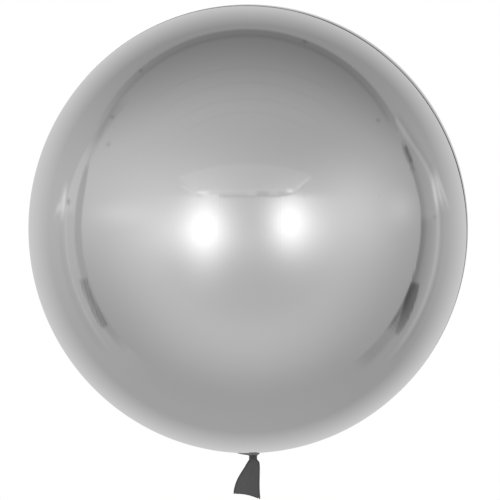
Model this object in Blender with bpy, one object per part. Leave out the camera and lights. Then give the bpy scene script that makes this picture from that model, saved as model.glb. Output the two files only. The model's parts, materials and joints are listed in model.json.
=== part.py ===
"""Bubble balloon: a chrome-finished sphere of two stretched film halves with a gathered neck and a short tail.

The origin is the centre of the envelope. The two halves are welded together in the XZ plane, the front
half is on the -Y side, and the neck and its tail point down, along -Z. Everything is in metres.
"""

import math

import bmesh
import bpy
from mathutils import Matrix

# Envelope: a globe a little taller than it is wide, measured over the film.
GLOBE_WIDTH = 0.4506
GLOBE_HEIGHT = 0.4600
FILM_WALL = 0.0010
RIM_SIDES = 56
CUP_RINGS = 14

# Weld where the two halves meet.
WELD_WIDTH = 0.0012
WELD_DEPTH = 0.0010
FIT_GAP = 0.0003

# Collar of film drawn together round the neck, and the throat below it.
COLLAR_X = -0.0016
COLLAR_HALF_WIDTH = 0.0132
COLLAR_HALF_DEPTH = 0.0120
COLLAR_WALL = 0.0008
COLLAR_SIDES = 24
NECK_X = 0.0050
NECK_HALF_WIDTH = 0.0039
NECK_HALF_DEPTH = 0.0021
NECK_TOP_Z = -0.2330
NECK_END_Z = -0.2380

# Tail: two flat films, welded down both sides, with the valve sleeve between them.
TAIL_FILM = 0.0010
TAIL_WELD_WIDTH = 0.0015
TAIL_WELD_DEPTH = 0.0026
VALVE_FILM = 0.0006
VALVE_HALF_WIDTH = 0.0025
VALVE_TOP_Z = -0.2336
MOUTH_RECESS = 0.0035

# Half width in X, half depth in Y and height in Z of the globe.
GLOBE = (GLOBE_WIDTH / 2, GLOBE_WIDTH / 2, GLOBE_HEIGHT / 2)

# Each row: height z, left edge x, right edge x of the tail, from the gathered neck to the mouth.
TAIL_ROWS = (
    (-0.2383, 0.0010, 0.0090),
    (-0.2413, -0.0010, 0.0118),
    (-0.2475, -0.0048, 0.0119),
    (-0.2557, -0.0102, 0.0116),
    (-0.2640, -0.0135, 0.0114),
    (-0.2697, -0.0148, 0.0118),
)

# Each row: x and z of the mouth's lower edge, which runs down to a point at the right.
MOUTH_POINTS = (
    (-0.0152, -0.2733),
    (-0.0080, -0.2739),
    (0.0000, -0.2750),
    (0.0060, -0.2764),
    (0.0122, -0.2793),
)


def clear_scene():
    for item in list(bpy.data.objects):
        bpy.data.objects.remove(item, do_unlink=True)


def film(name, colour, roughness, metallic):
    material = bpy.data.materials.new(name)
    material.use_nodes = True
    shader = material.node_tree.nodes["Principled BSDF"]
    shader.inputs["Base Color"].default_value = (*colour, 1.0)
    shader.inputs["Roughness"].default_value = roughness
    shader.inputs["Metallic"].default_value = metallic
    return material


def add_piece(name, bm, material, smooth=True):
    """Close the bmesh into an object with outward faces."""
    bmesh.ops.recalc_face_normals(bm, faces=bm.faces)
    mesh = bpy.data.meshes.new(name)
    bm.to_mesh(mesh)
    bm.free()
    mesh.materials.append(material)
    if smooth:
        mesh.shade_smooth()
        mesh.set_sharp_from_angle(angle=math.radians(35))
    piece = bpy.data.objects.new(name, mesh)
    bpy.context.collection.objects.link(piece)
    return piece


def globe_depth(x, y):
    """Height of the globe's lower outer surface under the point x, y."""
    return -GLOBE[2] * math.sqrt(1 - (x / GLOBE[0]) ** 2 - (y / GLOBE[1]) ** 2)


def keep_side(bm, front):
    """Cut the shape in the XZ plane and keep its front (-Y) or back (+Y) half."""
    cut = bm.verts[:] + bm.edges[:] + bm.faces[:]
    away = 1 if front else -1
    bmesh.ops.bisect_plane(bm, geom=cut, dist=1e-6, plane_co=(0, 0, 0), plane_no=(0, away, 0), clear_outer=True)


def neck_cutter():
    """Upright elliptical column that opens the globe where the collar sits."""
    bm = bmesh.new()
    bmesh.ops.create_cone(bm, cap_ends=True, segments=COLLAR_SIDES * 2, radius1=1, radius2=1, depth=0.04)
    size = (COLLAR_HALF_WIDTH + FIT_GAP, COLLAR_HALF_DEPTH + FIT_GAP, 1)
    bmesh.ops.scale(bm, vec=size, verts=bm.verts)
    bmesh.ops.translate(bm, vec=(COLLAR_X, 0, -GLOBE[2]), verts=bm.verts)
    cutter = add_piece("neck_opening_cutter", bm, film("cutter", (0.5, 0.5, 0.5), 0.5, 0.0))
    cutter.hide_render = True
    cutter.display_type = "WIRE"
    return cutter


def open_neck(piece, cutter):
    opening = piece.modifiers.new("neck_opening", "BOOLEAN")
    opening.operation = "DIFFERENCE"
    opening.solver = "EXACT"
    opening.object = cutter


def envelope_half(name, front, material, cutter):
    """One stretched film half: a deep cup whose rim stops just short of the weld."""
    bm = bmesh.new()
    bmesh.ops.create_uvsphere(bm, u_segments=RIM_SIDES, v_segments=CUP_RINGS * 2, radius=1)
    bmesh.ops.rotate(bm, verts=bm.verts, matrix=Matrix.Rotation(math.pi / 2, 3, "X"))
    keep_side(bm, front)
    rim = WELD_WIDTH / 2 + FIT_GAP
    bmesh.ops.scale(bm, vec=(GLOBE[0], GLOBE[1] - rim, GLOBE[2]), verts=bm.verts)
    bmesh.ops.translate(bm, vec=(0, -rim if front else rim, 0), verts=bm.verts)
    half = add_piece(name, bm, material)
    wall = half.modifiers.new("film_wall", "SOLIDIFY")
    wall.thickness = FILM_WALL
    wall.offset = -1
    open_neck(half, cutter)
    return half


def seam_weld(material, cutter):
    """Flat band of welded film that runs round the globe between the two halves."""
    bm = bmesh.new()
    bmesh.ops.create_grid(bm, x_segments=1, y_segments=1, size=0.5)
    bmesh.ops.scale(bm, vec=(WELD_DEPTH, WELD_WIDTH, 1), verts=bm.verts)
    bmesh.ops.translate(bm, vec=(GLOBE[0] - WELD_DEPTH / 2, 0, 0), verts=bm.verts)
    bmesh.ops.delete(bm, geom=bm.faces[:], context="FACES_ONLY")
    bmesh.ops.spin(
        bm, geom=bm.verts[:] + bm.edges[:], cent=(0, 0, 0), axis=(0, 1, 0),
        angle=math.tau, steps=RIM_SIDES, use_merge=True,
    )
    bmesh.ops.scale(bm, vec=(1, 1, GLOBE[2] / GLOBE[0]), verts=bm.verts)
    weld = add_piece("seam_weld", bm, material)
    open_neck(weld, cutter)
    return weld


def collar_rings():
    """Rings of the gathered film: centre x, half width, half depth, height z, from the globe to the tail."""
    rim_z = globe_depth(COLLAR_X, COLLAR_HALF_DEPTH)
    return (
        (COLLAR_X, COLLAR_HALF_WIDTH, COLLAR_HALF_DEPTH, rim_z),
        (COLLAR_X + 0.0012, COLLAR_HALF_WIDTH * 0.72, COLLAR_HALF_DEPTH * 0.70, rim_z - 0.0010),
        (NECK_X - 0.0018, COLLAR_HALF_WIDTH * 0.45, COLLAR_HALF_DEPTH * 0.38, rim_z - 0.0020),
        (NECK_X, NECK_HALF_WIDTH, NECK_HALF_DEPTH, NECK_TOP_Z),
        (NECK_X, NECK_HALF_WIDTH, NECK_HALF_DEPTH, NECK_END_Z),
    )


def neck_collar(name, front, material):
    """Half of the puckered collar and throat, where the film is drawn in to a narrow bundle."""
    bm = bmesh.new()
    loops = []
    for centre, half_width, half_depth, height in collar_rings():
        ring = bmesh.ops.create_circle(bm, cap_ends=False, segments=COLLAR_SIDES, radius=1)["verts"]
        bmesh.ops.scale(bm, vec=(half_width, half_depth, 1), verts=ring)
        bmesh.ops.translate(bm, vec=(centre, 0, height), verts=ring)
        loops.append({edge for vert in ring for edge in vert.link_edges})
    for upper, lower in zip(loops, loops[1:]):
        bmesh.ops.bridge_loops(bm, edges=list(upper | lower))
    bmesh.ops.recalc_face_normals(bm, faces=bm.faces)
    bmesh.ops.solidify(bm, geom=bm.faces[:], thickness=COLLAR_WALL)
    keep_side(bm, front)
    bmesh.ops.holes_fill(bm, edges=[edge for edge in bm.edges if edge.is_boundary], sides=0)
    side = -FIT_GAP / 2 if front else FIT_GAP / 2
    bmesh.ops.translate(bm, vec=(0, side, 0), verts=bm.verts)
    return add_piece(name, bm, material)


def flat_plate(name, outline, y_near, y_far, material):
    """Plate with the given x, z outline between two depths."""
    bm = bmesh.new()
    corners = [bm.verts.new((x, y_near, z)) for x, z in outline]
    face = bm.faces.new(corners)
    sides = bmesh.ops.extrude_face_region(bm, geom=[face])["geom"]
    moved = [item for item in sides if isinstance(item, bmesh.types.BMVert)]
    bmesh.ops.translate(bm, vec=(0, y_far - y_near, 0), verts=moved)
    return add_piece(name, bm, material, smooth=False)


def mouth_z(x):
    """Height of the mouth's lower edge at x."""
    for (x0, z0), (x1, z1) in zip(MOUTH_POINTS, MOUTH_POINTS[1:]):
        if x <= x1:
            return z0 + (z1 - z0) * (x - x0) / (x1 - x0)
    return MOUTH_POINTS[-1][1]


def tail_outline(inset, rise=0.0):
    """Outline of the tail, drawn in at both sides by inset and raised at the mouth by rise."""
    left = [(x_left + inset, z) for z, x_left, x_right in TAIL_ROWS]
    right = [(x_right - inset, z) for z, x_left, x_right in TAIL_ROWS]
    first = MOUTH_POINTS[0][0] + inset
    last = MOUTH_POINTS[-1][0] - inset
    inner = [x for x, z in MOUTH_POINTS if first < x < last]
    mouth = [(x, mouth_z(x) + rise) for x in [first, *inner, last]]
    return left + mouth + right[::-1]


def tail_film(name, front, material):
    """Front or back film of the tail, between the two side welds."""
    outline = tail_outline(TAIL_WELD_WIDTH + FIT_GAP)
    near = VALVE_FILM / 2 + FIT_GAP
    side = -1 if front else 1
    return flat_plate(name, outline, side * near, side * (near + TAIL_FILM), material)


def tail_weld(name, left, material):
    """Side weld of the tail: a narrow strip along the left or right edge, down to the mouth."""
    inward = TAIL_WELD_WIDTH if left else -TAIL_WELD_WIDTH
    edge = [(row[1] if left else row[2], row[0]) for row in TAIL_ROWS]
    edge.append(MOUTH_POINTS[0] if left else MOUTH_POINTS[-1])
    inner = [(x + inward, z) for x, z in edge]
    inner[-1] = (inner[-1][0], mouth_z(inner[-1][0]))
    half_depth = TAIL_WELD_DEPTH / 2
    return flat_plate(name, edge + inner[::-1], -half_depth, half_depth, material)


def valve_film(material):
    """Self-sealing sleeve between the tail films, which runs up into the throat."""
    tail = tail_outline(TAIL_WELD_WIDTH + FIT_GAP, rise=MOUTH_RECESS)
    top = [(NECK_X + VALVE_HALF_WIDTH, VALVE_TOP_Z), (NECK_X - VALVE_HALF_WIDTH, VALVE_TOP_Z)]
    return flat_plate("valve_film", tail + top, -VALVE_FILM / 2, VALVE_FILM / 2, material)


def build():
    clear_scene()
    chrome = film("chrome_film", (0.62, 0.62, 0.62), 0.12, 1.0)
    weld = film("welded_film", (0.30, 0.30, 0.30), 0.30, 1.0)
    tail = film("tail_film", (0.09, 0.09, 0.09), 0.35, 0.5)
    tail_edge = film("tail_weld_film", (0.07, 0.07, 0.07), 0.40, 0.5)
    sleeve = film("valve_sleeve_film", (0.45, 0.45, 0.45), 0.30, 0.0)
    cutter = neck_cutter()
    for side, front in (("front", True), ("back", False)):
        envelope_half(f"envelope_{side}", front, chrome, cutter)
        neck_collar(f"neck_collar_{side}", front, chrome)
        tail_film(f"tail_{side}", front, tail)
    for side, left in (("left", True), ("right", False)):
        tail_weld(f"tail_weld_{side}", left, tail_edge)
    seam_weld(weld, cutter)
    valve_film(sleeve)


build()
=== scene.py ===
# %% [markdown]
# # A bubble balloon and its studio
# A bubble balloon is a globe of stretched, metallised film. Two discs of film are welded round their
# edge and blown up until they are nearly a ball, and the narrow neck hangs below as a short flat tail.
# The solid parts are already packed as a fixed frame in metres. This lesson makes the finished surfaces
# over that frame, gives each one its film finish, and sets up the studio that the mirror-bright film
# reflects. A mirror has almost no look of its own, so half of the work is what stands around it.

# %% Load the frame
import json
import math

import bmesh
import bpy
from mathutils import Matrix, Vector, noise

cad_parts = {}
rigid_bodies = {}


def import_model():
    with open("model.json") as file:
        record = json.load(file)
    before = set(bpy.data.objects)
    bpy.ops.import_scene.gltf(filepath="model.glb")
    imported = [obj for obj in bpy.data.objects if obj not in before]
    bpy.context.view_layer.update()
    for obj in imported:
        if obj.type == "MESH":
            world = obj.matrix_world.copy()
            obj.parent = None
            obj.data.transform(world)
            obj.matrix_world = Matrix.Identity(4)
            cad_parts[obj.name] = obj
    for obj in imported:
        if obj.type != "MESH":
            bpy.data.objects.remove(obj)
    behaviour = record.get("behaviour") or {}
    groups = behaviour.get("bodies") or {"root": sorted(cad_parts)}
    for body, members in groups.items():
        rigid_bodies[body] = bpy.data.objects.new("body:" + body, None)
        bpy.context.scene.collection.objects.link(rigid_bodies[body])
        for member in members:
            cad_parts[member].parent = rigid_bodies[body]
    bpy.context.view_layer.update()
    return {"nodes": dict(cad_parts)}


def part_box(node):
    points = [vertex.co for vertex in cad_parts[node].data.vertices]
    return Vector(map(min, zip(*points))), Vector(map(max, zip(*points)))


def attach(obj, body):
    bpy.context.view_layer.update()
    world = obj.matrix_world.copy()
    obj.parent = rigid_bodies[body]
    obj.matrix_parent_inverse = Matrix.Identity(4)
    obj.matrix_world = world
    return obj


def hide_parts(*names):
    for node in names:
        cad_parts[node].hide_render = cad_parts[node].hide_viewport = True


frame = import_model()
print("packed pieces:", sorted(frame["nodes"]))

# %% [markdown]
# ## Sizes that come from the frame
# Every new surface has to sit where its solid sits, so the driving sizes are read from the packed
# pieces and not typed in again. The globe is a little taller than it is wide, and the plane of its
# weld is the XZ plane. The front film is on the -Y side and the tail hangs along -Z.

# %% Measure the globe, the gathered neck and the tail
globe_low, globe_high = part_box("envelope_front")
HALF_WIDTH = globe_high.x
HALF_DEPTH = -globe_low.y
HALF_HEIGHT = globe_high.z
collar_low, collar_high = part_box("neck_collar_front")
RIM_CENTRE = (collar_low.x + collar_high.x) / 2
RIM_HALF_WIDTH = (collar_high.x - collar_low.x) / 2
RIM_HALF_DEPTH = -collar_low.y
RIM_Z = collar_high.z
THROAT_END_Z = collar_low.z
print(f"globe {HALF_WIDTH * 2:.4f} x {HALF_DEPTH * 2:.4f} x {HALF_HEIGHT * 2:.4f} m")
print(f"neck rim {RIM_HALF_WIDTH * 2:.4f} x {RIM_HALF_DEPTH * 2:.4f} m at z {RIM_Z:.4f}")

# %% [markdown]
# ## From a mesh to a finished piece
# Real film has a thickness, even if it is a tenth of a millimetre, and a cut edge that catches light.
# Each piece is drawn as a thin sheet, which is easy to shape, and a Solidify modifier gives it its
# wall. Edges that turn by more than a set angle are marked sharp, so that a cut edge stays crisp while
# the rest is shaded smooth.

# %% One way to finish every piece
SHARP_TURN = math.radians(40)


def finish_piece(name, bm, material, wall=0.0, rounds=0):
    """Turn a bmesh into a named object with its finish, its wall and its rounds of subdivision."""
    mesh = bpy.data.meshes.new(name)
    bm.to_mesh(mesh)
    bm.free()
    mesh.materials.append(material)
    mesh.shade_smooth()
    mesh.set_sharp_from_angle(angle=SHARP_TURN)
    piece = bpy.data.objects.new(name, mesh)
    bpy.context.scene.collection.objects.link(piece)
    if rounds:
        subdivide = piece.modifiers.new("subdivide", "SUBSURF")
        subdivide.levels = subdivide.render_levels = rounds
    if wall:
        solidify = piece.modifiers.new("film_wall", "SOLIDIFY")
        solidify.thickness = wall
        solidify.offset = -1
    return piece


def dress(piece, slot, *nodes):
    """Let the piece stand for its solids and ride on the balloon's one body."""
    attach(piece, "root")
    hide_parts(*nodes)
    print(f"{piece.name}: {len(piece.data.vertices)} points stand for {', '.join(nodes)}")


# %% [markdown]
# ## Shader sums written as Python
# The finishes below are sums of noises, lines and soft edges. Wired by hand, each plus sign would be a
# node and two links. This class wraps one node output and teaches it Python's operators, so a formula
# reads as it would on paper. Everything that isn't plain arithmetic goes through its node method.

# %% A small class for shader sums
class Value:
    """One output of a shader node, which takes part in Python sums."""

    def __init__(self, tree, socket=None):
        self.tree = tree
        self.socket = socket

    def node(self, kind, settings, inputs, output=0):
        """Add a node: its settings first, then a number, a colour or another Value for each input."""
        made = self.tree.nodes.new(kind)
        for name, setting in settings.items():
            setattr(made, name, setting)
        for key, given in inputs.items():
            if isinstance(given, Value):
                self.tree.links.new(given.socket, made.inputs[key])
            else:
                made.inputs[key].default_value = given
        return Value(self.tree, made.outputs[output] if made.outputs else None)

    def output(self, name):
        """Another output of the same node."""
        return Value(self.tree, self.socket.node.outputs[name])

    def math(self, operation, *numbers):
        return self.node("ShaderNodeMath", {"operation": operation}, dict(enumerate(numbers)))

    def __add__(self, other):
        return self.math("ADD", self, other)

    __radd__ = __add__

    def __sub__(self, other):
        return self.math("SUBTRACT", self, other)

    def __rsub__(self, other):
        return self.math("SUBTRACT", other, self)

    def __mul__(self, other):
        return self.math("MULTIPLY", self, other)

    __rmul__ = __mul__

    def __truediv__(self, other):
        return self.math("DIVIDE", self, other)

    def __pow__(self, other):
        return self.math("POWER", self, other)

    def __neg__(self):
        return self.math("MULTIPLY", self, -1.0)

    def __abs__(self):
        return self.math("ABSOLUTE", self)


def higher(one, other):
    return one.math("MAXIMUM", one, other)


def lower(one, other):
    return one.math("MINIMUM", one, other)


def root(value):
    return value.math("SQRT", value)


def sine_of(value):
    return value.math("SINE", value)


def angle_of(up, across):
    """Angle above the horizon, in degrees."""
    return up.math("ARCTAN2", up, across) * math.degrees(1)


def smooth(value, start, end):
    """0 up to start, 1 from end on, and a soft S between them."""
    settings = {"interpolation_type": "SMOOTHSTEP"}
    return value.node("ShaderNodeMapRange", settings, {0: value, 1: start, 2: end})


def bell(value, width):
    """1 where the value is 0, falling off as a bell whose standard deviation is width."""
    return value.math("EXPONENT", value * value * (-0.5 / width**2))


def window(value, start, end, soft):
    """1 between start and end, 0 outside them, with edges twice soft wide."""
    return smooth(value, start - soft, start + soft) * (1 - smooth(value, end - soft, end + soft))


def between(share, one, other):
    """one where share is 0, other where it is 1."""
    return one + (other - one) * share


# %% [markdown]
# ## The metallised film
# The film is a plastic laminate with a bright metal coat, pulled tight by the gas. It is a mirror with a
# trace of haze. Three small faults keep it from looking computed: the fine lines that the extruder's
# die leaves along the sheet, a slow unevenness from the stretching, and a few specks. A narrow band beside
# the weld is duller and carries painted shade of the crease: a little darker all round and matt black at
# the upper right. The lines were straight on the flat disc and bow as the disc becomes a dome, so they
# are drawn in the flat disc's coordinates: the distance over the film from the middle of the dome, not
# through the air.

# %% Flat-sheet coordinates on the globe
def new_material(name):
    material = bpy.data.materials.new(name)
    material.use_nodes = True
    material.node_tree.nodes.clear()
    return material, Value(material.node_tree)


def object_xyz(start):
    """Object coordinates, in metres, as three numbers."""
    place = start.node("ShaderNodeTexCoord", {}, {}, "Object")
    x = start.node("ShaderNodeSeparateXYZ", {}, {0: place})
    return place, x, x.output("Y"), x.output("Z")


def flat_sheet(x, y, z):
    """Where a point of the globe lay on the flat disc, in metres across and up."""
    out = root(x * x + z * z) / HALF_WIDTH
    swing = out.math("ARCTAN2", out, abs(y) / HALF_DEPTH)
    stretch = swing / higher(out, 0.01)
    return x * stretch, z * stretch


def cloud(start, vector, scale, detail=2.0):
    """Soft noise from about 0 to 1."""
    inputs = {"Vector": vector, "Scale": scale, "Detail": detail}
    return start.node("ShaderNodeTexNoise", {}, inputs)


def vector_of(start, x, y, z):
    return start.node("ShaderNodeCombineXYZ", {}, {0: x, 1: y, 2: z})


# Matt black that is mixed in as painted shade.
PAINTED_SHADE_COLOUR = (0.055, 0.055, 0.055, 1)


def surface(start, colour, roughness, metallic, height, depth, painted_shade=None):
    """A Principled surface with a bump of the given depth in metres.

    The last argument is the share of the surface painted matt black, as painted shade.
    """
    grey = start.node("ShaderNodeCombineColor", {}, {0: colour, 1: colour, 2: colour})
    bump = start.node("ShaderNodeBump", {}, {"Distance": depth, "Height": height})
    inputs = {"Base Color": grey, "Roughness": roughness, "Metallic": metallic, "Normal": bump}
    shader = start.node("ShaderNodeBsdfPrincipled", {}, inputs)
    # Painted shade: the given share of the surface is mixed with matt black.
    if painted_shade is not None:
        painted_black = start.node("ShaderNodeBsdfDiffuse", {}, {"Color": PAINTED_SHADE_COLOUR})
        shader = start.node("ShaderNodeMixShader", {}, {0: painted_shade, 1: shader, 2: painted_black})
    start.node("ShaderNodeOutputMaterial", {}, {"Surface": shader})


# %% The chrome finish
FILM_REFLECTANCE = 0.80
FILM_ROUGHNESS = 0.048
FILM_RELIEF = 0.00004
DIE_LINES_PER_M = 330.0
SEAL_BAND = 0.0048
SEAL_LEAN = 0.0014
# Where round the weld the crease is deepest and its shade is painted, in degrees up from the right side.
SHADED_SEAM_AT = 48.0
SHADED_FROM, SHADED_TO = 9, 71
SPECKS_PER_M = 42.0
SPECK_SIZE = 0.022


def die_lines(start, across, up):
    """Sparse fine lines that run the length of the sheet, each with its own strength."""
    fine = cloud(start, vector_of(start, across * DIE_LINES_PER_M, up * 1.2, 0.0), 1.0, 1.0)
    broad = cloud(start, vector_of(start, across * 40.0, up * 2.0, 5.0), 1.0)
    return smooth(fine, 0.48, 0.80) * smooth(broad, 0.30, 0.65)


def shaded_seam(x, z):
    """1 at the upper right of the weld, where the crease's shade is painted, and 0 round the rest."""
    return window(angle_of(z, x), SHADED_FROM, SHADED_TO, 10)


def specks(start, place):
    """Sparse dots of dust and missing metal."""
    inputs = {"Vector": place, "Scale": SPECKS_PER_M}
    distance = start.node("ShaderNodeTexVoronoi", {}, inputs, "Distance")
    return 1 - smooth(distance, SPECK_SIZE * 0.5, SPECK_SIZE)


def chrome_film():
    material, start = new_material("chrome_film")
    place, x, y, z = object_xyz(start)
    across, up = flat_sheet(x, y, z)
    lines = die_lines(start, across, up)
    peel = cloud(start, place, 45.0)
    haze = cloud(start, place, 9.0, 3.0)
    dots = specks(start, place)
    # Painted shade: a band beside the weld is painted 12% darker, and mostly matt black at the upper right,
    # for the crease's shadow.
    lean = SEAL_LEAN * bell(angle_of(z, x) - SHADED_SEAM_AT, 18)
    seam_shade_band = 1 - smooth(abs(y + lean), SEAL_BAND * 0.75, SEAL_BAND)
    painted_shade = 0.80 * shaded_seam(x, z) * seam_shade_band
    colour = FILM_REFLECTANCE * (1 - 0.03 * haze) * (1 - 0.45 * dots) * (1 - 0.12 * seam_shade_band)
    roughness = FILM_ROUGHNESS + 0.02 * haze + 0.01 * lines + 0.3 * dots + 0.2 * seam_shade_band
    surface(start, colour, roughness, 1.0, 0.3 * lines + 0.8 * peel, FILM_RELIEF, painted_shade)
    return material


chrome = chrome_film()
print("chrome film:", len(chrome.node_tree.nodes), "nodes")

# %% [markdown]
# ## The two film halves
# A sphere is the obvious start, but a plain one has its points spread evenly, and this one needs them
# in two places: across the narrow crease where the halves are welded, and round the neck. So the
# sphere's poles stand at the top and the neck, where all meridians meet, and the meridians are drawn
# towards the weld. Each point then gets its place by a formula: the globe itself, less the crease,
# plus the small gathers round the neck. Each half is the sphere cut in the plane of the weld.

# %% Shape of the inflated film
MERIDIANS = 256
PARALLELS = 192
MERIDIAN_PULL = 0.80
FILM_WALL = 0.0003
WELD_HALF_THICKNESS = 0.00025
CREASE_DEPTH = 0.0010
CREASE_REACH = 0.0036
DEEPER_CREASE = 0.0011
DEEPER_WITHIN = 25
CREASE_RIPPLE = 0.00008
RIPPLE_REACH = 0.006
RIPPLES_PER_M = 60.0
GATHERS = 22
GATHER_DEPTH = 0.00035
GATHER_REACH = 0.020
PARALLELS_OPENED = 3.5


def drawn_to_weld(azimuth):
    """Crowd the meridians towards the plane of the weld, at azimuths 0 and 180 degrees."""
    return azimuth - MERIDIAN_PULL * math.sin(2 * azimuth) / 2


def gathers(azimuth):
    """Profile of the gathered film round the neck: round ridges between sharp valleys."""
    turn = GATHERS * azimuth / 2 + 0.6 * math.sin(3 * azimuth)
    return 2 * abs(math.sin(turn)) - 1


def near_neck(point):
    """1 at the neck's rim and less with distance from it; 0 on the upper half."""
    if point.z > 0:
        return 0.0
    away = math.hypot(point.x, point.y) - RIM_HALF_WIDTH
    return math.exp(-max(away, 0.0) / GATHER_REACH)


def deeper(x, z):
    """1 at the upper right, where the crease is deepest, and nearly 0 elsewhere."""
    turn = math.degrees(math.atan2(z, x)) - SHADED_SEAM_AT
    return math.exp(-((turn / DEEPER_WITHIN) ** 2))


def film_point(direction):
    """Place of a point of the film, from its direction on a sphere of radius 1."""
    azimuth = drawn_to_weld(math.atan2(direction.y, direction.x))
    out = math.hypot(direction.x, direction.y)
    x, y, z = out * math.cos(azimuth), out * math.sin(azimuth), direction.z
    point = Vector((x * HALF_WIDTH, y * HALF_DEPTH, z * HALF_HEIGHT))
    outward = Vector((x / HALF_WIDTH, y / HALF_DEPTH, z / HALF_HEIGHT)).normalized()
    crease = CREASE_DEPTH + DEEPER_CREASE * deeper(point.x, point.z)
    crease *= math.exp(-((point.y / CREASE_REACH) ** 2))
    wobble = noise.noise(Vector((point.x, 0, point.z)) * RIPPLES_PER_M)
    ripple = CREASE_RIPPLE * wobble * math.exp(-abs(point.y) / RIPPLE_REACH)
    near = near_neck(point)
    gather = GATHER_DEPTH * gathers(azimuth) * near
    point += outward * (gather + ripple - crease)
    point.x += RIM_CENTRE * near
    return point


# %% [markdown]
# The crease is one or two millimetres deep and the gathers are under half of one, yet they matter: a
# mirror doubles every change of slope. The sphere is opened at the bottom by taking off its lowest
# parallels, and its open edge is set on the neck's rim, so that the gathered neck can carry on from there.

# %% Build both halves
def neck_rim(azimuth):
    """Where the globe's film ends and the gathered neck begins."""
    x = RIM_CENTRE + RIM_HALF_WIDTH * math.cos(azimuth)
    y = RIM_HALF_DEPTH * math.sin(azimuth)
    return Vector((x, y, RIM_Z))


def keep_half(bm, side):
    """Cut in the plane of the weld, keep one side, and stop short of the welded flange."""
    everything = bm.verts[:] + bm.edges[:] + bm.faces[:]
    bmesh.ops.bisect_plane(bm, geom=everything, dist=1e-6, plane_co=(0, 0, 0),
                           plane_no=(0, -side, 0), clear_outer=True)
    bmesh.ops.scale(bm, vec=(1, 1 - WELD_HALF_THICKNESS / HALF_DEPTH, 1), verts=bm.verts)
    bmesh.ops.translate(bm, vec=(0, side * WELD_HALF_THICKNESS, 0), verts=bm.verts)


def film_half(name, side, material):
    bm = bmesh.new()
    bmesh.ops.create_uvsphere(bm, u_segments=MERIDIANS, v_segments=PARALLELS, radius=1)
    opening = -math.cos(PARALLELS_OPENED * math.pi / PARALLELS)
    low = [vert for vert in bm.verts if vert.co.z < opening]
    bmesh.ops.delete(bm, geom=low, context="VERTS")
    rim = [vert for vert in bm.verts if vert.is_boundary]
    rim_azimuths = [drawn_to_weld(math.atan2(vert.co.y, vert.co.x)) for vert in rim]
    for vert in bm.verts:
        vert.co = film_point(vert.co)
    for vert, azimuth in zip(rim, rim_azimuths):
        vert.co = neck_rim(azimuth)
    bmesh.ops.recalc_face_normals(bm, faces=bm.faces)
    keep_half(bm, side)
    return finish_piece(name, bm, material, wall=FILM_WALL)


FRONT, BACK = -1, 1
film_front = film_half("film_front", FRONT, chrome)
dress(film_front, "chrome_film", "envelope_front")
film_back = film_half("film_back", BACK, chrome)
dress(film_back, "chrome_film", "envelope_back")

# %% [markdown]
# ## The welded flange
# Where the two films are sealed, their edges stand together as a thin fin in the bottom of the crease.
# At the upper right the fin is painted dark and mostly matt black, as painted shade of the crease, so it
# shows as a fine dark line just inside the globe's edge.
# It is a small rectangle spun about the Y axis, from one side of the neck over the top to the other,
# stretched to the globe's height, and sunk where the crease is deepest.

# %% Finish and shape of the flange
# The fin's reflectance at the upper right is lowered as painted shade.
SHADED_WELD_REFLECTANCE = 0.10
PLAIN_WELD_REFLECTANCE = 0.50
WELD_ROUGHNESS = 0.42
WELD_PROUD = 0.0001
WELD_ROOT = 0.0020
WELD_SUNK = 0.0007
WELD_STEPS = 512


def welded_film():
    material, start = new_material("welded_film")
    place, x, y, z = object_xyz(start)
    crimp = cloud(start, place, 900.0)
    patch = cloud(start, place, 60.0)
    # Painted shade: at the upper right the fin is painted dark, less metallic and mostly matt black, for the
    # crease's shadow.
    shaded_share = shaded_seam(x, z)
    colour = between(shaded_share, PLAIN_WELD_REFLECTANCE, SHADED_WELD_REFLECTANCE) * (0.85 + 0.3 * patch)
    roughness = WELD_ROUGHNESS + 0.1 * crimp
    surface(start, colour, roughness, between(shaded_share, 1.0, 0.35), crimp, 0.00005, 0.85 * shaded_share)
    return material


def welded_flange(name, material):
    bm = bmesh.new()
    bmesh.ops.create_grid(bm, x_segments=1, y_segments=1, size=0.5)
    bmesh.ops.scale(bm, vec=(WELD_PROUD + WELD_ROOT, WELD_HALF_THICKNESS * 2, 1), verts=bm.verts)
    middle = HALF_WIDTH + (WELD_PROUD - WELD_ROOT) / 2
    bmesh.ops.translate(bm, vec=(middle, 0, 0), verts=bm.verts)
    clear_of_neck = (RIM_HALF_WIDTH + RIM_CENTRE) / HALF_WIDTH
    whole = math.tau - 2 * RIM_HALF_WIDTH / HALF_WIDTH
    start_turn = Matrix.Rotation(math.pi / 2 - clear_of_neck, 3, "Y")
    bmesh.ops.rotate(bm, verts=bm.verts, cent=(0, 0, 0), matrix=start_turn)
    bmesh.ops.spin(bm, geom=bm.verts[:] + bm.edges[:] + bm.faces[:], cent=(0, 0, 0), axis=(0, -1, 0),
                   angle=whole, steps=WELD_STEPS)
    bmesh.ops.scale(bm, vec=(1, 1, HALF_HEIGHT / HALF_WIDTH), verts=bm.verts)
    for vert in bm.verts:
        vert.co *= 1 - WELD_SUNK / HALF_WIDTH * deeper(vert.co.x, vert.co.z)
    bmesh.ops.recalc_face_normals(bm, faces=bm.faces)
    return finish_piece(name, bm, material)


weld = welded_flange("weld_flange", welded_film())
dress(weld, "welded_film", "seam_weld")

# %% [markdown]
# ## The gathered neck
# Below the globe the film is drawn in from a rim about 26 mm wide to a waist of 8 mm, all within 5 mm of
# height, so it folds like the top of a tied sack. The film here is painted greyer than the globe, as painted
# shade of its folds, and past a slanting line it is painted as dark as the tail, a painted shadow.
# The shape is a stack of circles, scaled by the rows of a table, pushed in and out by the gathers and
# bridged into a skin. The waist isn't under the middle of the rim, which gives the neck its lean.

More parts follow.
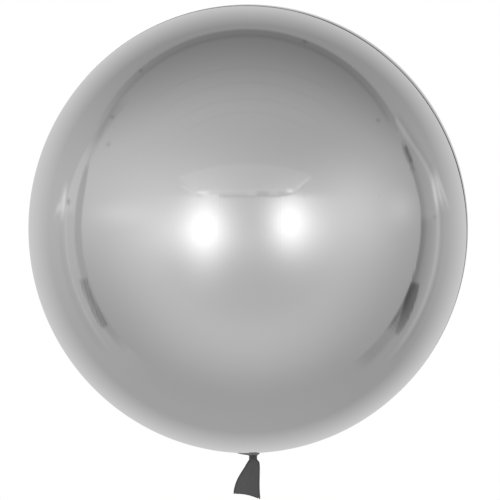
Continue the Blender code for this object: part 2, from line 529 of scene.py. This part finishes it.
# %% Finish of the gathered neck
# The neck's lowered reflectance, and the tail's colour past a slanting line, are painted shade.
SHADED_NECK_REFLECTANCE = 0.26
TAIL_COLOUR = 0.079
TAIL_ROUGHNESS = 0.38
SHADOW_EDGE_Z = -0.2325
SHADOW_EDGE_SLOPE = 0.15
SHADOW_EDGE_X = 0.004


def neck_film():
    material, start = new_material("neck_film")
    place, x, y, z = object_xyz(start)
    # Painted shade: greyer than the globe for the shade of its folds, and as dark as the tail past a
    # slanting line, a painted shadow.
    slant = z - SHADOW_EDGE_Z - SHADOW_EDGE_SLOPE * lower(SHADOW_EDGE_X - x, 0.014)
    unshadowed = smooth(slant, -0.0003, 0.0003)
    folds = cloud(start, place, 500.0)
    colour = between(unshadowed, TAIL_COLOUR, SHADED_NECK_REFLECTANCE * (0.85 + 0.3 * folds))
    roughness = between(unshadowed, TAIL_ROUGHNESS, 0.16 + 0.1 * folds)
    surface(start, colour, roughness, unshadowed, folds, 0.0001)
    return material


# %% Shape of the gathered neck
# Each row: height, centre x, half width, half depth and depth of the gathers, from the globe down.
NECK_ROWS = (
    (RIM_Z + 0.0003, RIM_CENTRE, RIM_HALF_WIDTH - 0.0001, RIM_HALF_DEPTH - 0.0001, 0.0001),
    (RIM_Z - 0.0020, -0.0012, 0.0126, RIM_HALF_DEPTH - 0.0004, 0.0002),
    (RIM_Z - 0.0031, 0.0012, 0.0102, 0.0112, 0.0003),
    (RIM_Z - 0.0039, 0.0030, 0.0078, 0.0082, 0.0005),
    (RIM_Z - 0.0046, 0.0046, 0.0050, 0.0044, 0.0005),
    (RIM_Z - 0.0053, 0.0050, 0.0038, 0.0022, 0.0004),
    (RIM_Z - 0.0065, 0.0050, 0.0034, 0.0019, 0.0004),
    (THROAT_END_Z, 0.0050, 0.0038, 0.0020, 0.0003),
)
NECK_POINTS = 176
THIN_WALL = 0.0002


def neck_skin(name, side, material):
    bm = bmesh.new()
    loops = []
    for height, centre, half_width, half_depth, fold in NECK_ROWS:
        ring = bmesh.ops.create_circle(bm, cap_ends=False, segments=NECK_POINTS, radius=1)["verts"]
        for vert in ring:
            azimuth = math.atan2(vert.co.y, vert.co.x)
            push = fold * gathers(azimuth)
            x = centre + (half_width + push) * math.cos(azimuth)
            vert.co = (x, (half_depth + push) * math.sin(azimuth), height)
        loops.append({edge for vert in ring for edge in vert.link_edges})
    for upper, lower_loop in zip(loops, loops[1:]):
        bmesh.ops.bridge_loops(bm, edges=list(upper | lower_loop))
    bmesh.ops.recalc_face_normals(bm, faces=bm.faces)
    everything = bm.verts[:] + bm.edges[:] + bm.faces[:]
    bmesh.ops.bisect_plane(bm, geom=everything, dist=1e-6, plane_co=(0, 0, 0),
                           plane_no=(0, -side, 0), clear_outer=True)
    return finish_piece(name, bm, material, wall=THIN_WALL, rounds=1)


neck_finish = neck_film()
neck_front = neck_skin("neck_gather_front", FRONT, neck_finish)
dress(neck_front, "chrome_film", "neck_collar_front")
neck_back = neck_skin("neck_gather_back", BACK, neck_finish)
dress(neck_back, "chrome_film", "neck_collar_back")

# %% [markdown]
# ## The tail
# The tail is the unstretched end of the neck: two films lying flat on each other, sealed down both
# sides, with a dark satin face. Its left edge sweeps out in a long S and its right one has a shoulder,
# because the film hangs a little twisted below the gathers. Its outline is a table with one row for each
# height, which every piece of the tail then reads.

# %% Outline of the tail
# Each row: x and z of the left edge, x and z of the right edge, and how far the films stand apart.
TAIL_ROWS = (
    (0.0014, -0.2372, 0.0086, -0.2372, 0.0012),
    (0.0010, -0.2384, 0.0091, -0.2384, 0.0013),
    (-0.0002, -0.2402, 0.0108, -0.2400, 0.0012),
    (-0.0012, -0.2416, 0.0119, -0.2412, 0.0011),
    (-0.0044, -0.2475, 0.0121, -0.2475, 0.0010),
    (-0.0100, -0.2557, 0.0119, -0.2565, 0.0010),
    (-0.0135, -0.2640, 0.0117, -0.2655, 0.0011),
    (-0.0150, -0.2703, 0.0120, -0.2735, 0.0012),
    (-0.0153, -0.2744, 0.0127, -0.2793, 0.0013),
)
SEAL_WIDTH = 0.0015
SEAL_OVERLAP = 0.0002
SEAL_THICKNESS = 0.0005
MOUTH_BOW = 0.0018
MOUTH_BAND_WIDTH = 0.0012
MOUTH_LEFT = TAIL_ROWS[-1][0:2]
MOUTH_RIGHT = TAIL_ROWS[-1][2:4]
FILM_COLUMNS = 12


def tail_point(across, row, inset):
    """Point of the tail: across runs from -1 at the left seal to 1 at the right one."""
    left_x, left_z, right_x, right_z, apart = TAIL_ROWS[row]
    share = (across + 1) / 2
    x = left_x + inset + (right_x - left_x - 2 * inset) * share
    z = left_z + (right_z - left_z) * share
    if row == len(TAIL_ROWS) - 1:
        z += MOUTH_BOW * (1 - across * across)
    return x, z, apart


# %% [markdown]
# The face is a very dark grey with a trace of fibre, and a narrow band along the mouth is darker still.
# The band follows the mouth's bow, so the finish works out how far above the mouth each point is from the
# same numbers as the outline.

# %% Finish of the tail
def tail_film():
    material, start = new_material("tail_film")
    place, x, y, z = object_xyz(start)
    fibre = cloud(start, vector_of(start, x * 900.0, y * 900.0, z * 160.0), 1.0, 3.0)
    mottle = cloud(start, place, 120.0)
    crackle = cloud(start, place, 1500.0)
    across = (x - MOUTH_LEFT[0]) / (MOUTH_RIGHT[0] - MOUTH_LEFT[0]) * 2 - 1
    mouth = (MOUTH_LEFT[1] + MOUTH_RIGHT[1]) / 2 + (MOUTH_RIGHT[1] - MOUTH_LEFT[1]) / 2 * across
    from_mouth = z - mouth - MOUTH_BOW * (1 - across * across)
    mouth_band = 1 - smooth(from_mouth, MOUTH_BAND_WIDTH * 0.7, MOUTH_BAND_WIDTH)
    colour = TAIL_COLOUR * (0.94 + 0.12 * mottle) * (1 - 0.25 * mouth_band)
    roughness = TAIL_ROUGHNESS + 0.12 * (mottle - 0.5) + 0.05 * fibre
    surface(start, colour, roughness, 0.0, fibre + 0.4 * crackle, 0.00004)
    return material


def seal_film():
    material, start = new_material("tail_weld_film")
    place, x, y, z = object_xyz(start)
    crimp = cloud(start, vector_of(start, x * 500.0, 0.0, z * 2200.0), 1.0)
    colour = 0.052 + 0.012 * crimp
    surface(start, colour, 0.44 + 0.1 * crimp, 0.0, crimp, 0.00008)
    return material


# %% [markdown]
# Each film is a grid laid between the seals, with shallow folds that run down from the gathers and a
# slight bulge that keeps the films apart. The seals are narrow strips along the two edges.

# %% The tail's films and seals
def soft_crease(across, row):
    """Shallow folds that run down from the gathers and fade towards the mouth."""
    fade = 1 - row / len(TAIL_ROWS)
    return 0.00025 * fade * math.sin(9 * across + 0.5 * row) + 0.0001 * math.sin(4 * across - row)


def row_of(vert):
    """A grid's points lie from y -1 to 1: the top row of the tail is at 1."""
    return round((1 - vert.co.y) / 2 * (len(TAIL_ROWS) - 1))


def tail_sheet(name, side, material):
    bm = bmesh.new()
    bmesh.ops.create_grid(bm, x_segments=FILM_COLUMNS, y_segments=len(TAIL_ROWS) - 1, size=1)
    for vert in bm.verts:
        across, row = vert.co.x, row_of(vert)
        x, z, apart = tail_point(across, row, SEAL_WIDTH)
        bulge = (apart + soft_crease(across, row)) * (1 - across * across)
        vert.co = (x, side * (SEAL_THICKNESS / 2 + bulge), z)
    bmesh.ops.recalc_face_normals(bm, faces=bm.faces)
    if sum(face.normal.y * side for face in bm.faces) < 0:
        bmesh.ops.reverse_faces(bm, faces=bm.faces)
    return finish_piece(name, bm, material, wall=THIN_WALL, rounds=2)


def tail_seal(name, at_left, material):
    bm = bmesh.new()
    bmesh.ops.create_grid(bm, x_segments=2, y_segments=len(TAIL_ROWS) - 1, size=1)
    for vert in bm.verts:
        across, row = vert.co.x, row_of(vert)
        edge_x, edge_z, _ = tail_point(-1 if at_left else 1, row, 0.0)
        inward = 1 if at_left else -1
        x = edge_x + inward * (across + 1) / 2 * (SEAL_WIDTH + SEAL_OVERLAP)
        vert.co = (x, -SEAL_THICKNESS / 2, edge_z)
    bmesh.ops.recalc_face_normals(bm, faces=bm.faces)
    if sum(face.normal.y for face in bm.faces) > 0:
        bmesh.ops.reverse_faces(bm, faces=bm.faces)
    return finish_piece(name, bm, material, wall=SEAL_THICKNESS, rounds=2)


tail_finish = tail_film()
seal_finish = seal_film()
for word, side in (("front", FRONT), ("back", BACK)):
    dress(tail_sheet(f"tail_film_{word}", side, tail_finish), "tail_film", f"tail_{word}")
for word, at_left in (("left", True), ("right", False)):
    dress(tail_seal(f"tail_seal_{word}", at_left, seal_finish), "tail_weld_film", f"tail_weld_{word}")

# %% [markdown]
# ## The valve sleeve
# Between the tail's films hangs a self-sealing sleeve of thin clear plastic. The gas pushes it shut. All
# that shows of it is its milky end, a few millimetres inside the mouth, when the balloon is seen from
# below. It is one more grid laid between much narrower edges and stopped short of the mouth.

# %% Finish and shape of the sleeve
SLEEVE_INSET = 0.0026
SLEEVE_TAPER = 0.0004
SLEEVE_STOP = 0.0035


def sleeve_film():
    material, start = new_material("valve_sleeve_film")
    place, x, y, z = object_xyz(start)
    milk = cloud(start, place, 300.0)
    colour = 0.50 + 0.10 * milk
    surface(start, colour, 0.30 + 0.15 * milk, 0.0, milk, 0.00005)
    return material


def valve_sleeve(name, material):
    bm = bmesh.new()
    bmesh.ops.create_grid(bm, x_segments=8, y_segments=len(TAIL_ROWS) - 1, size=1)
    for vert in bm.verts:
        across, row = vert.co.x, row_of(vert)
        x, z, _ = tail_point(across, row, SLEEVE_INSET + SLEEVE_TAPER * row)
        if row == len(TAIL_ROWS) - 1:
            z += SLEEVE_STOP
        vert.co = (x, 0.0001 * math.sin(5 * across), z)
    bmesh.ops.recalc_face_normals(bm, faces=bm.faces)
    return finish_piece(name, bm, material, wall=THIN_WALL, rounds=2)


sleeve = valve_sleeve("valve_sleeve", sleeve_film())
dress(sleeve, "valve_sleeve_film", "valve_film")

# %% [markdown]
# The globe curves away above the neck so steeply that it would mirror the tail in a thin dark sliver,
# which can't be seen on the real balloon. So the tail and its sleeve are left out of mirrors. The
# gathered neck stays in them, and shows with a sliver of its own image above it.

# %% Keep the small pieces out of the mirror
for piece in bpy.context.scene.objects:
    if piece.name.startswith(("tail_film", "tail_seal", "valve_sleeve")):
        piece.visible_glossy = False

# %% [markdown]
# ## The camera
# The balloon was photographed from far away with a long lens, slightly from its right and from above.
# The far seam gives the angle away: seen square on, the weld would lie exactly on the globe's edge, and
# here it shows as a line just inside the edge at the upper right. The lens is chosen so that the frame
# is half a metre wide at the balloon, and the camera is slid sideways and down, not turned, to frame
# the tail as well.

# %% Place the camera
CAMERA_TURN = math.radians(5.85)
CAMERA_TILT = math.radians(6.45)
CAMERA_DISTANCE = 12.0
CAMERA_LENS = 842.8
FRAME_RIGHT = 0.00183
FRAME_UP = -0.02177
to_camera = Vector((math.sin(CAMERA_TURN) * math.cos(CAMERA_TILT),
                    -math.cos(CAMERA_TURN) * math.cos(CAMERA_TILT),
                    math.sin(CAMERA_TILT)))
camera_right = Vector((math.cos(CAMERA_TURN), math.sin(CAMERA_TURN), 0))
camera_up = to_camera.cross(camera_right)


def place_camera():
    data = bpy.data.cameras.new("portrait_camera")
    data.lens = CAMERA_LENS
    camera = bpy.data.objects.new("portrait_camera", data)
    camera.location = to_camera * CAMERA_DISTANCE + camera_right * FRAME_RIGHT + camera_up * FRAME_UP
    camera.rotation_euler = (-to_camera).to_track_quat("-Z", "Y").to_euler()
    bpy.context.scene.collection.objects.link(camera)
    bpy.context.scene.camera = camera
    print("camera at", [round(part, 3) for part in camera.location])


place_camera()
bpy.context.scene.view_settings.view_transform = "Standard"

# %% [markdown]
# ## What the film reflects
# The studio is a white tent lit from outside, with the camera in its open end. Everything in it can be
# modelled as walls and lamps, or painted on the world that surrounds the scene. The world is the better
# place here, because a convex mirror shows the whole room at once, and each wall only as a curved shape.
# So the studio is drawn on a chart of a mirror ball: the direction that a ray leaves in is turned into
# the spot on the ball that would reflect it to the camera, and every lamp, panel and edge is placed by
# where it shows on the ball. The chart belongs to the room and not to the camera: it stays where it is
# when the balloon is seen from another side.

# %% Turn a direction into a place on the chart
def chart_place(start):
    """Across and up on the mirror-ball chart, both from -1 to 1, for the direction of a ray."""
    ray = start.node("ShaderNodeTexCoord", {}, {}, "Generated")
    halfway = start.node("ShaderNodeVectorMath", {"operation": "ADD"}, {0: ray, 1: to_camera})
    halfway = start.node("ShaderNodeVectorMath", {"operation": "NORMALIZE"}, {0: halfway})

    def part(axis, size):
        inputs = {0: halfway, 1: axis * size}
        return start.node("ShaderNodeVectorMath", {"operation": "DOT_PRODUCT"}, inputs, "Value")

    across = part(camera_right, HALF_WIDTH)
    up = part(camera_up, HALF_HEIGHT)
    near = part(to_camera, HALF_WIDTH)
    length = root(across * across + up * up + near * near)
    return across / length, up / length


# %% [markdown]
# Tones on the chart are display greys from 0 to 255, as a photographer would read them off a monitor, so
# every mark is so many greys lighter or darker than what is under it. Most marks are bars of light, folds
# of cloth or dots, and three small drawing tools make them all. The class holds the measures that the
# marks ask for again and again: how far out a place is, and its angle above or below the horizon.

# %% Places and marks on the chart
class Spot:
    """A place on the chart: across and up from its middle, out from it, and its lift in degrees."""

    def __init__(self, across, up):
        self.across = across
        self.up = up
        self.out = root(across * across + up * up) + 0.000001
        self.lift = angle_of(up, abs(across))
        self.right = smooth(across, -0.12, 0.12)
        self.left = 1 - self.right


def measured_along(at, start, end):
    """How far a place is along the line between two others, how far beside it, and the line's length."""
    length = math.dist(start, end)
    run = (end[0] - start[0]) / length
    rise = (end[1] - start[1]) / length
    x = at.across - start[0]
    y = at.up - start[1]
    return x * run + y * rise, y * run - x * rise, length


def stroke(at, start, end, width, ends=0.012):
    """A line between two places that fades to both sides and towards its ends."""
    along, beside, length = measured_along(at, start, end)
    return bell(beside, width) * window(along, ends, length - ends, ends)


def bar(at, start, end, half_width, soft):
    """A bar between two places, of one strength up to its softened edges."""
    along, beside, length = measured_along(at, start, end)
    return window(beside, -half_width, half_width, soft) * window(along, 0, length, soft * 2)


def blot(at, across, up, half_width, half_height):
    """A soft oval mark."""
    x = (at.across - across) / half_width
    y = (at.up - up) / half_height
    return bell(root(x * x + y * y), 1.0)


# %% [markdown]
# ## The room in front of the ball
# The tent's inside fills the middle of the chart. It is palest level with the lamps and darkens towards
# the table below and the roof above. The roof's dark bows down at both sides, because straight edges
# overhead curve round a mirror ball. Soft light also pools on the two side walls.

# %% Table, walls and roof of the tent
def tent_inside(at):
    near = 1 - smooth(at.out, 0.416, 0.813)
    table = 155 + 46.5 * near - 25 * blot(at, 0.045, -0.285, 0.36, 0.204)
    bow = at.up + 0.484 * at.across * at.across
    roof = 162 - 11.5 * at.across * bell(at.up - 0.603, 0.439) - 53 * smooth(bow, 0.494, 0.995)
    walls = between(smooth(at.up, -0.682, 0.439), table, roof)
    pools = 25.5 * blot(at, -0.462, 0.111, 0.445, 0.213) + 28 * blot(at, 0.502, 0.103, 0.163, 0.156)
    pools = pools + 9.6 * blot(at, -0.584, 0.062, 0.089, 0.036) + 12.3 * blot(at, 0.695, 0.089, 0.047, 0.052)
    return walls + pools - 4.6 * blot(at, 0.0, 0.010, 0.073, 0.045)


# %% [markdown]
# Two round lamps behind white cloth give the two hot spots. A shelf crosses their upper edge, and it
# shows nearly edge on: a faint panel with a curved back, a front edge that catches both lamps, and a dark
# gap under it. The lamps are cut off there, sharply below the shelf and softly beside it.

# %% The two lamps
def lamps(at):
    first = 48 * blot(at, -0.192, 0.0, 0.067, 0.126) + 33 * blot(at, -0.208, -0.018, 0.152, 0.086)
    second = 73 * blot(at, 0.177, 0.027, 0.067, 0.100) + 25 * blot(at, 0.285, 0.004, 0.081, 0.111)
    over = at.up - 0.012 * smooth(at.across, 0.12, 0.21)
    behind_shelf = window(at.across, -0.228, 0.213, 0.010)
    cut = between(behind_shelf, 0.60 * smooth(at.up, 0.126, 0.166), 0.70 * smooth(over, 0.132, 0.138))
    return (first + second) * (1 - cut)


# %% The shelf over the lamps
def shelf_edge(at):
    """The front edge, where the lamps touch it, and its two slanted ends."""
    edge = 7 * stroke(at, (-0.235, 0.155), (-0.108, 0.160), 0.004)
    edge = edge + 4 * stroke(at, (-0.120, 0.160), (0.180, 0.166), 0.004)
    edge = edge + 22 * stroke(at, (-0.240, 0.156), (-0.168, 0.153), 0.005)
    edge = edge + 26 * stroke(at, (-0.224, 0.142), (-0.124, 0.140), 0.004)
    edge = edge + 8 * stroke(at, (-0.015, 0.147), (0.040, 0.146), 0.005)
    edge = edge + 34 * stroke(at, (0.163, 0.165), (0.217, 0.159), 0.005)
    edge = edge + 9 * stroke(at, (-0.310, 0.190), (-0.230, 0.146), 0.004)
    edge = edge + 14 * stroke(at, (0.207, 0.160), (0.289, 0.229), 0.0045)
    return edge - 7 * stroke(at, (0.214, 0.154), (0.274, 0.205), 0.004)


def shelf_gap(at):
    """The dark gap, with two supports in it."""
    gap = 9 * stroke(at, (-0.130, 0.137), (0.045, 0.137), 0.004)
    gap = gap + 10 * bar(at, (0.039, 0.1485), (0.091, 0.1485), 0.0115, 0.003)
    gap = gap + 9 * bar(at, (0.137, 0.1535), (0.160, 0.1535), 0.0065, 0.003)
    gap = gap + 12 * stroke(at, (0.080, 0.137), (0.145, 0.138), 0.004)
    return gap + 16 * stroke(at, (0.125, 0.138), (0.216, 0.153), 0.004)


def shelf(at):
    back = 0.282 - 0.58 * at.across * at.across
    left_end = -0.236 - 1.10 * (at.up - 0.149)
    right_end = 0.210 + 1.15 * (at.up - 0.161)
    panel = 4.5 * window(at.up, 0.146, back, 0.005) * window(at.across, left_end, right_end, 0.006)
    hook = 9 * stroke(at, (0.203, 0.249), (0.232, 0.252), 0.004)
    hook = hook + 7 * stroke(at, (0.226, 0.250), (0.249, 0.276), 0.004)
    return panel + shelf_edge(at) - shelf_gap(at) - hook - 12 * blot(at, 0.252, 0.140, 0.004, 0.004)


# %% [markdown]
# Thin hoops hold the roof up and show as faint rings, and small clips hold the cloth at the mouth.

# %% The roof's hoops and clips
HOOPS = (0.512, 0.572, 0.645, 0.712)
CLIPS = ((-0.486, 0.701), (0.254, 0.830), (-0.615, 0.493), (0.588, 0.478), (-0.632, 0.371))


def roof_marks(at):
    marks = 0
    for hoop in HOOPS:
        marks = marks + 3 * bell(at.out - hoop, 0.003) * smooth(at.lift, 40, 70)
    for across, up in CLIPS:
        marks = marks + 20 * blot(at, across, up, 0.006, 0.006)
    return marks


# %% [markdown]
# ## Past the tent's mouth
# A mirror ball shows everything round it, even what is behind it, squeezed into the ring along its edge.
# Here that ring is the wall behind the balloon, which whitens outwards to the blank white ground. The
# tent's mouth parts the two: an arch above, a fold of cloth at each side, and below only a soft change.

# %% The wall behind the balloon
def wall_behind(at):
    height = at.up / at.out
    side = abs(at.across) / at.out
    wall = 165.4 - 14 * smooth(height, 0.02, 1.0) + 7.7 * side**6
    wall = wall - 8 * bell(at.lift + 41, 20) * at.right + 9.5 * bell(at.lift - 20, 21) * at.left
    whitening = lower(higher((at.out - 0.917) / 0.081, -0.16), 1.05)
    return between(whitening, wall, 202)


# %% The arch over the mouth
def under_arch(at, inside, outside):
    """A step in tone, with a dark rail a little way inside it."""
    height = at.up / at.out
    side = at.across / at.out
    past = at.out - 0.879 + 0.145 * (1 - height) + 0.006 * side * height
    return between(smooth(past, -0.002, 0.012), inside - 8 * bell(past + 0.023, 0.006), outside)


# %% [markdown]
# The cloth is turned in at the sides of the mouth. At the right it is dark at the turn and has a broad
# pale fold further out. At the left it is a grey band, then a paler one up to a thin bright fold. Each
# one's edge runs nearly round the ball and swings out where it meets the arch.

# %% The two sides of the mouth
def right_side(at, inside, outside):
    past = at.out - 0.784 + 0.0004 * abs(at.lift - 8) - 0.00025 * higher(at.lift - 22, 0) ** 2
    low = 1 - smooth(at.lift, 1, 5)
    turned_in = (15 + 5 * low) * (1 - smooth(past, 0.006, 0.035))
    shade = turned_in + (11 + 10 * low) * (1 - smooth(past, 0.020, 0.090))
    foot = 10 * (1 - smooth(past, 0.035, 0.060)) * window(at.lift, -50, -34, 4)
    fold = 0.867 - 0.035 * smooth(at.lift, 12, 32)
    pale = 10 * window(at.out, fold - 0.015, fold + 0.0015, 0.0033) - 8 * bell(at.out - fold - 0.010, 0.009)
    cloth = outside - foot - shade * window(at.lift, -34, 28, 3) + pale * window(at.lift, -38, 42, 8)
    return between(smooth(past, -0.003, 0.003), inside, cloth)


def left_side(at, inside, outside):
    past = at.out - 0.754 - 0.0001 * higher(at.lift - 8, 0) ** 2
    grey = 12.5 * (1 - smooth(at.out, 0.778, 0.792)) * smooth(at.lift, -46, -36)
    grey = grey * (1 - smooth(at.lift, 19, 22))
    fold = 0.826 - 0.00003 * higher(at.lift - 5, 0) ** 2
    pale = (2 + 9 * smooth(at.lift, 3, 7)) * window(at.out, 0.786, fold, 0.004) * window(at.lift, -30, 29, 4)
    pale = pale + 8 * bell(at.out - fold, 0.003) * window(at.lift, -38, 12, 8)
    pale = pale - 5 * bell(at.out - fold - 0.022, 0.009) * window(at.lift, -38, 0, 6)
    return between(smooth(past, -0.003, 0.003), inside, outside - grey + pale)


# %% [markdown]
# Black stands and striped folds peep through the gap at both sides of the mouth, and the lamps draw
# bright streaks down its rim. These are the sharpest marks on the ball, and they make it read as a mirror.

# %% Stands and folds beside the mouth
def dark_marks(at):
    inner = 0.773 + 0.003 * higher(-23.5 - at.lift, 0)
    outer = 0.829 - 0.0001 * (at.lift + 31) ** 2
    stand = (40 - 20 * smooth(-at.lift, 25, 35)) * window(at.out, inner, outer, 0.004)
    stand = stand * window(at.lift, -35, -17.8, 0.8) * at.right
    lace = 9 * sine_of(at.across * 300) * sine_of(at.up * 220) * window(at.out, 0.779, inner, 0.004)
    lace = lace * window(at.lift, -35, -28, 1.5) * at.right
    post = 36 * bar(at, (0.711, 0.366), (0.739, 0.292), 0.007, 0.005)
    post = post + 16 * bar(at, (0.738, 0.290), (0.752, 0.255), 0.005, 0.004)
    post = post + 8 * stroke(at, (0.664, 0.470), (0.712, 0.366), 0.005)
    stripes = 22 + 8 * sine_of(at.out * 420 + at.lift * 0.62)
    folds = stripes * at.left * window(at.out, 0.762, 0.798, 0.003) * window(at.lift, -34, -16.8, 0.8)
    corner = 8 * window(at.out, 0.774, 0.808, 0.010) * window(at.lift, 25, 44, 4) * at.left
    clips = 36 * blot(at, -0.814, 0.118, 0.005, 0.009) + 16 * blot(at, 0.845, 0.050, 0.004, 0.007)
    return stand + lace + post + folds + corner + clips


# %% Streaks of lamp light on the rim
def rim_streaks(at):
    streaks = 33 * stroke(at, (-0.822, 0.225), (-0.846, 0.010), 0.007, 0.05)
    streaks = streaks + 12 * stroke(at, (-0.830, 0.170), (-0.884, 0.030), 0.006, 0.035)
    streaks = streaks + 15 * stroke(at, (-0.846, 0.125), (-0.862, 0.055), 0.007, 0.018)
    streaks = streaks + 28 * stroke(at, (0.826, 0.270), (0.864, 0.045), 0.006, 0.05)
    streaks = streaks + 34 * stroke(at, (0.836, 0.285), (0.888, 0.060), 0.006, 0.05)
    return streaks + 22 * stroke(at, (0.842, 0.280), (0.918, 0.060), 0.005, 0.05)


# %% [markdown]
# ## The whole chart
# The parts are put together from the inside out. The arch takes over from the sides where it springs,
# which is a little higher at the right, and low down the sides give way to a soft change of tone.

# %% Put the chart together
def studio_tone(at):
    inside = tent_inside(at) + lamps(at) + shelf(at) - roof_marks(at)
    outside = wall_behind(at)
    sides = between(at.right, left_side(at, inside, outside), right_side(at, inside, outside))
    soft_change = between(smooth(at.out, 0.618, 0.942), inside, outside)
    sides = between(smooth(at.lift, -58, -44), soft_change, sides)
    springing = between(at.right, 27, 34)
    above = smooth(at.lift - springing, 0, 5)
    room = between(above, sides, under_arch(at, inside, outside))
    return room - dark_marks(at) + rim_streaks(at)


# %% [markdown]
# The chart gives display greys, and light is measured in energy, so a tone goes through the usual display
# curve and is divided by the film's reflectance, which rises to 1 where the film is seen at a glancing
# angle. Only rays that leave the film see the chart. Everything else is lit by an even white room, as a
# cut-out on a white ground is.

# %% Surround the balloon with the studio
MEAN_HAZE = 0.989
WHITE_ROOM = 0.92
WHITE_GROUND = 1.0


def film_reflectance(at):
    """How much of the light the film returns at a place on the ball."""
    facing = root(higher(1 - at.out * at.out, 0))
    return MEAN_HAZE * (FILM_REFLECTANCE + (1 - FILM_REFLECTANCE) * (1 - facing) ** 5)


def studio_world():
    world = bpy.data.worlds.new("studio")
    bpy.context.scene.world = world
    world.use_nodes = True
    world.node_tree.nodes.clear()
    start = Value(world.node_tree)
    across, up = chart_place(start)
    at = Spot(across, up)
    tone = studio_tone(at) / 255
    light = ((tone + 0.055) / 1.055) ** 2.4 / film_reflectance(at)
    seen_in_film = start.node("ShaderNodeLightPath", {}, {}, "Is Glossy Ray")
    seen_direct = seen_in_film.output("Is Camera Ray")
    level = between(seen_in_film, WHITE_ROOM, light)
    level = between(seen_direct, level, WHITE_GROUND)
    shade = start.node("ShaderNodeBackground", {}, {"Color": (1, 1, 1, 1), "Strength": level})
    start.node("ShaderNodeOutputWorld", {}, {"Surface": shade})
    print("studio:", len(world.node_tree.nodes), "nodes")
    return world


world = studio_world()
world.cycles.sampling_method = "NONE"

# %% [markdown]
# ## The floor
# A pale floor lies a metre below the balloon. It catches the soft shadow, and it fades out at its edge
# and from below, so that a low view isn't cut off by it. The film doesn't reflect it, because the
# studio's chart already holds the table that stood there.

# %% Lay the floor
FLOOR_Z = -1.0
FLOOR_RADIUS = 3.0
FLOOR_COLOUR = (0.86, 0.86, 0.86, 1)


def pale_floor():
    material, start = new_material("pale_floor")
    place, x, y, z = object_xyz(start)
    fade = smooth(root(x * x + y * y), FLOOR_RADIUS * 0.5, FLOOR_RADIUS * 0.95)
    below = start.node("ShaderNodeNewGeometry", {}, {}, "Backfacing")
    paint = start.node("ShaderNodeBsdfDiffuse", {}, {"Color": FLOOR_COLOUR})
    clear = start.node("ShaderNodeBsdfTransparent", {}, {})
    mixed = start.node("ShaderNodeMixShader", {}, {0: higher(fade, below), 1: paint, 2: clear})
    start.node("ShaderNodeOutputMaterial", {}, {"Surface": mixed})
    return material


def lay_floor():
    bm = bmesh.new()
    bmesh.ops.create_circle(bm, cap_ends=True, segments=96, radius=FLOOR_RADIUS)
    bmesh.ops.translate(bm, vec=(0, 0, FLOOR_Z), verts=bm.verts)
    floor = finish_piece("studio_floor", bm, pale_floor())
    floor.visible_glossy = False


lay_floor()
